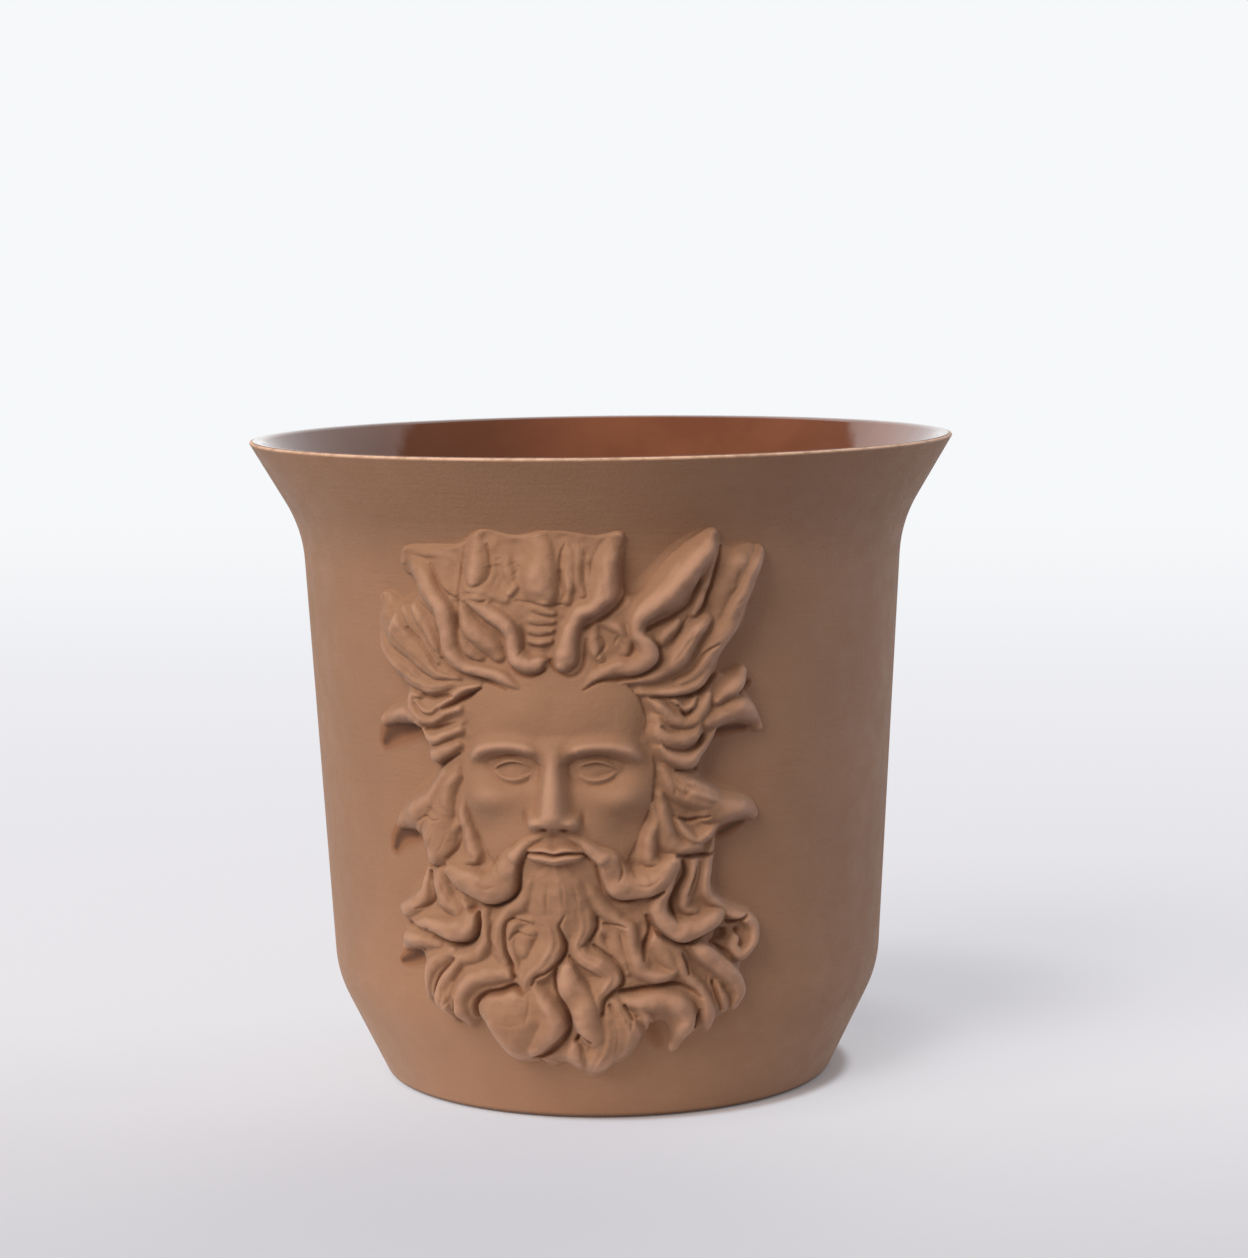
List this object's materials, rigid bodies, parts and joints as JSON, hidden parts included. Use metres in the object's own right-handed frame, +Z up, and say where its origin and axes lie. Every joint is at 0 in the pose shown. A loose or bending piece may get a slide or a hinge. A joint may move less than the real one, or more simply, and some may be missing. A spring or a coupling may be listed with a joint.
{
  "type": "coffee cup",
  "caption": "Handle-less flared coffee cup in matt brown stoneware, glossy glaze inside, with a bearded mask of applied clay strands on the front of its wall.",
  "frame": {"origin": "centre of the foot, on the surface that the cup stands on", "axes": "+Z up along the cup's axis; the mask faces -Y; +X is to the right of someone who looks at the mask"},
  "size_m": [0.09, 0.09, 0.0825],
  "materials": {
    "stoneware": "matt unglazed brown clay with a fine grain",
    "glaze": "glossy reddish-brown glaze"
  },
  "bodies": {
    "root": {"cup_body": "stoneware", "glaze_lining": "glaze", "face_pad": "stoneware", "moustache_left": "stoneware", "moustache_right": "stoneware", "forelock_left": "stoneware", "forelock_right": "stoneware", "plume_stem": "stoneware", "plume": "stoneware", "plume_strand_left": "stoneware", "plume_strand_right": "stoneware", "plume_strand_far_right": "stoneware", "crown_lock_left": "stoneware", "crown_lock_right": "stoneware", "crown_lock_right_inner": "stoneware", "crown_leaf_left": "stoneware", "crown_leaf_left_back": "stoneware", "crown_leaf_left_low": "stoneware", "crown_leaf_right": "stoneware", "crown_leaf_right_back": "stoneware", "crown_leaf_right_low": "stoneware", "crown_lobe_left": "stoneware", "crown_strand_right": "stoneware", "brow_strand_left": "stoneware", "brow_strand_left_inner": "stoneware", "brow_strand_right": "stoneware", "temple_curl_left_top": "stoneware", "temple_curl_left_middle": "stoneware", "temple_curl_left_low": "stoneware", "temple_leaf_left": "stoneware", "temple_curl_right_top": "stoneware", "temple_curl_right_inner": "stoneware", "temple_curl_right_low": "stoneware", "temple_leaf_right_top": "stoneware", "temple_leaf_right": "stoneware", "cheek_curl_left": "stoneware", "cheek_lock_left": "stoneware", "cheek_leaf_left": "stoneware", "cheek_curl_right": "stoneware", "cheek_lock_right": "stoneware", "jaw_curl_left": "stoneware", "jaw_lock_left": "stoneware", "jaw_strand_left": "stoneware", "jaw_curl_right": "stoneware", "jaw_lock_right": "stoneware", "jaw_curl_right_outer": "stoneware", "beard_strand_centre_left": "stoneware", "beard_strand_centre_right": "stoneware", "beard_curl_left": "stoneware", "beard_curl_left_inner": "stoneware", "beard_lobe_right": "stoneware", "beard_strand_left": "stoneware", "beard_strand_left_outer": "stoneware", "beard_strand_far_left": "stoneware", "beard_lock_left_low": "stoneware", "beard_strand_right": "stoneware", "beard_strand_far_right": "stoneware", "beard_strand_right_low": "stoneware", "beard_lock_right_low": "stoneware"}
  },
  "joints": []
}
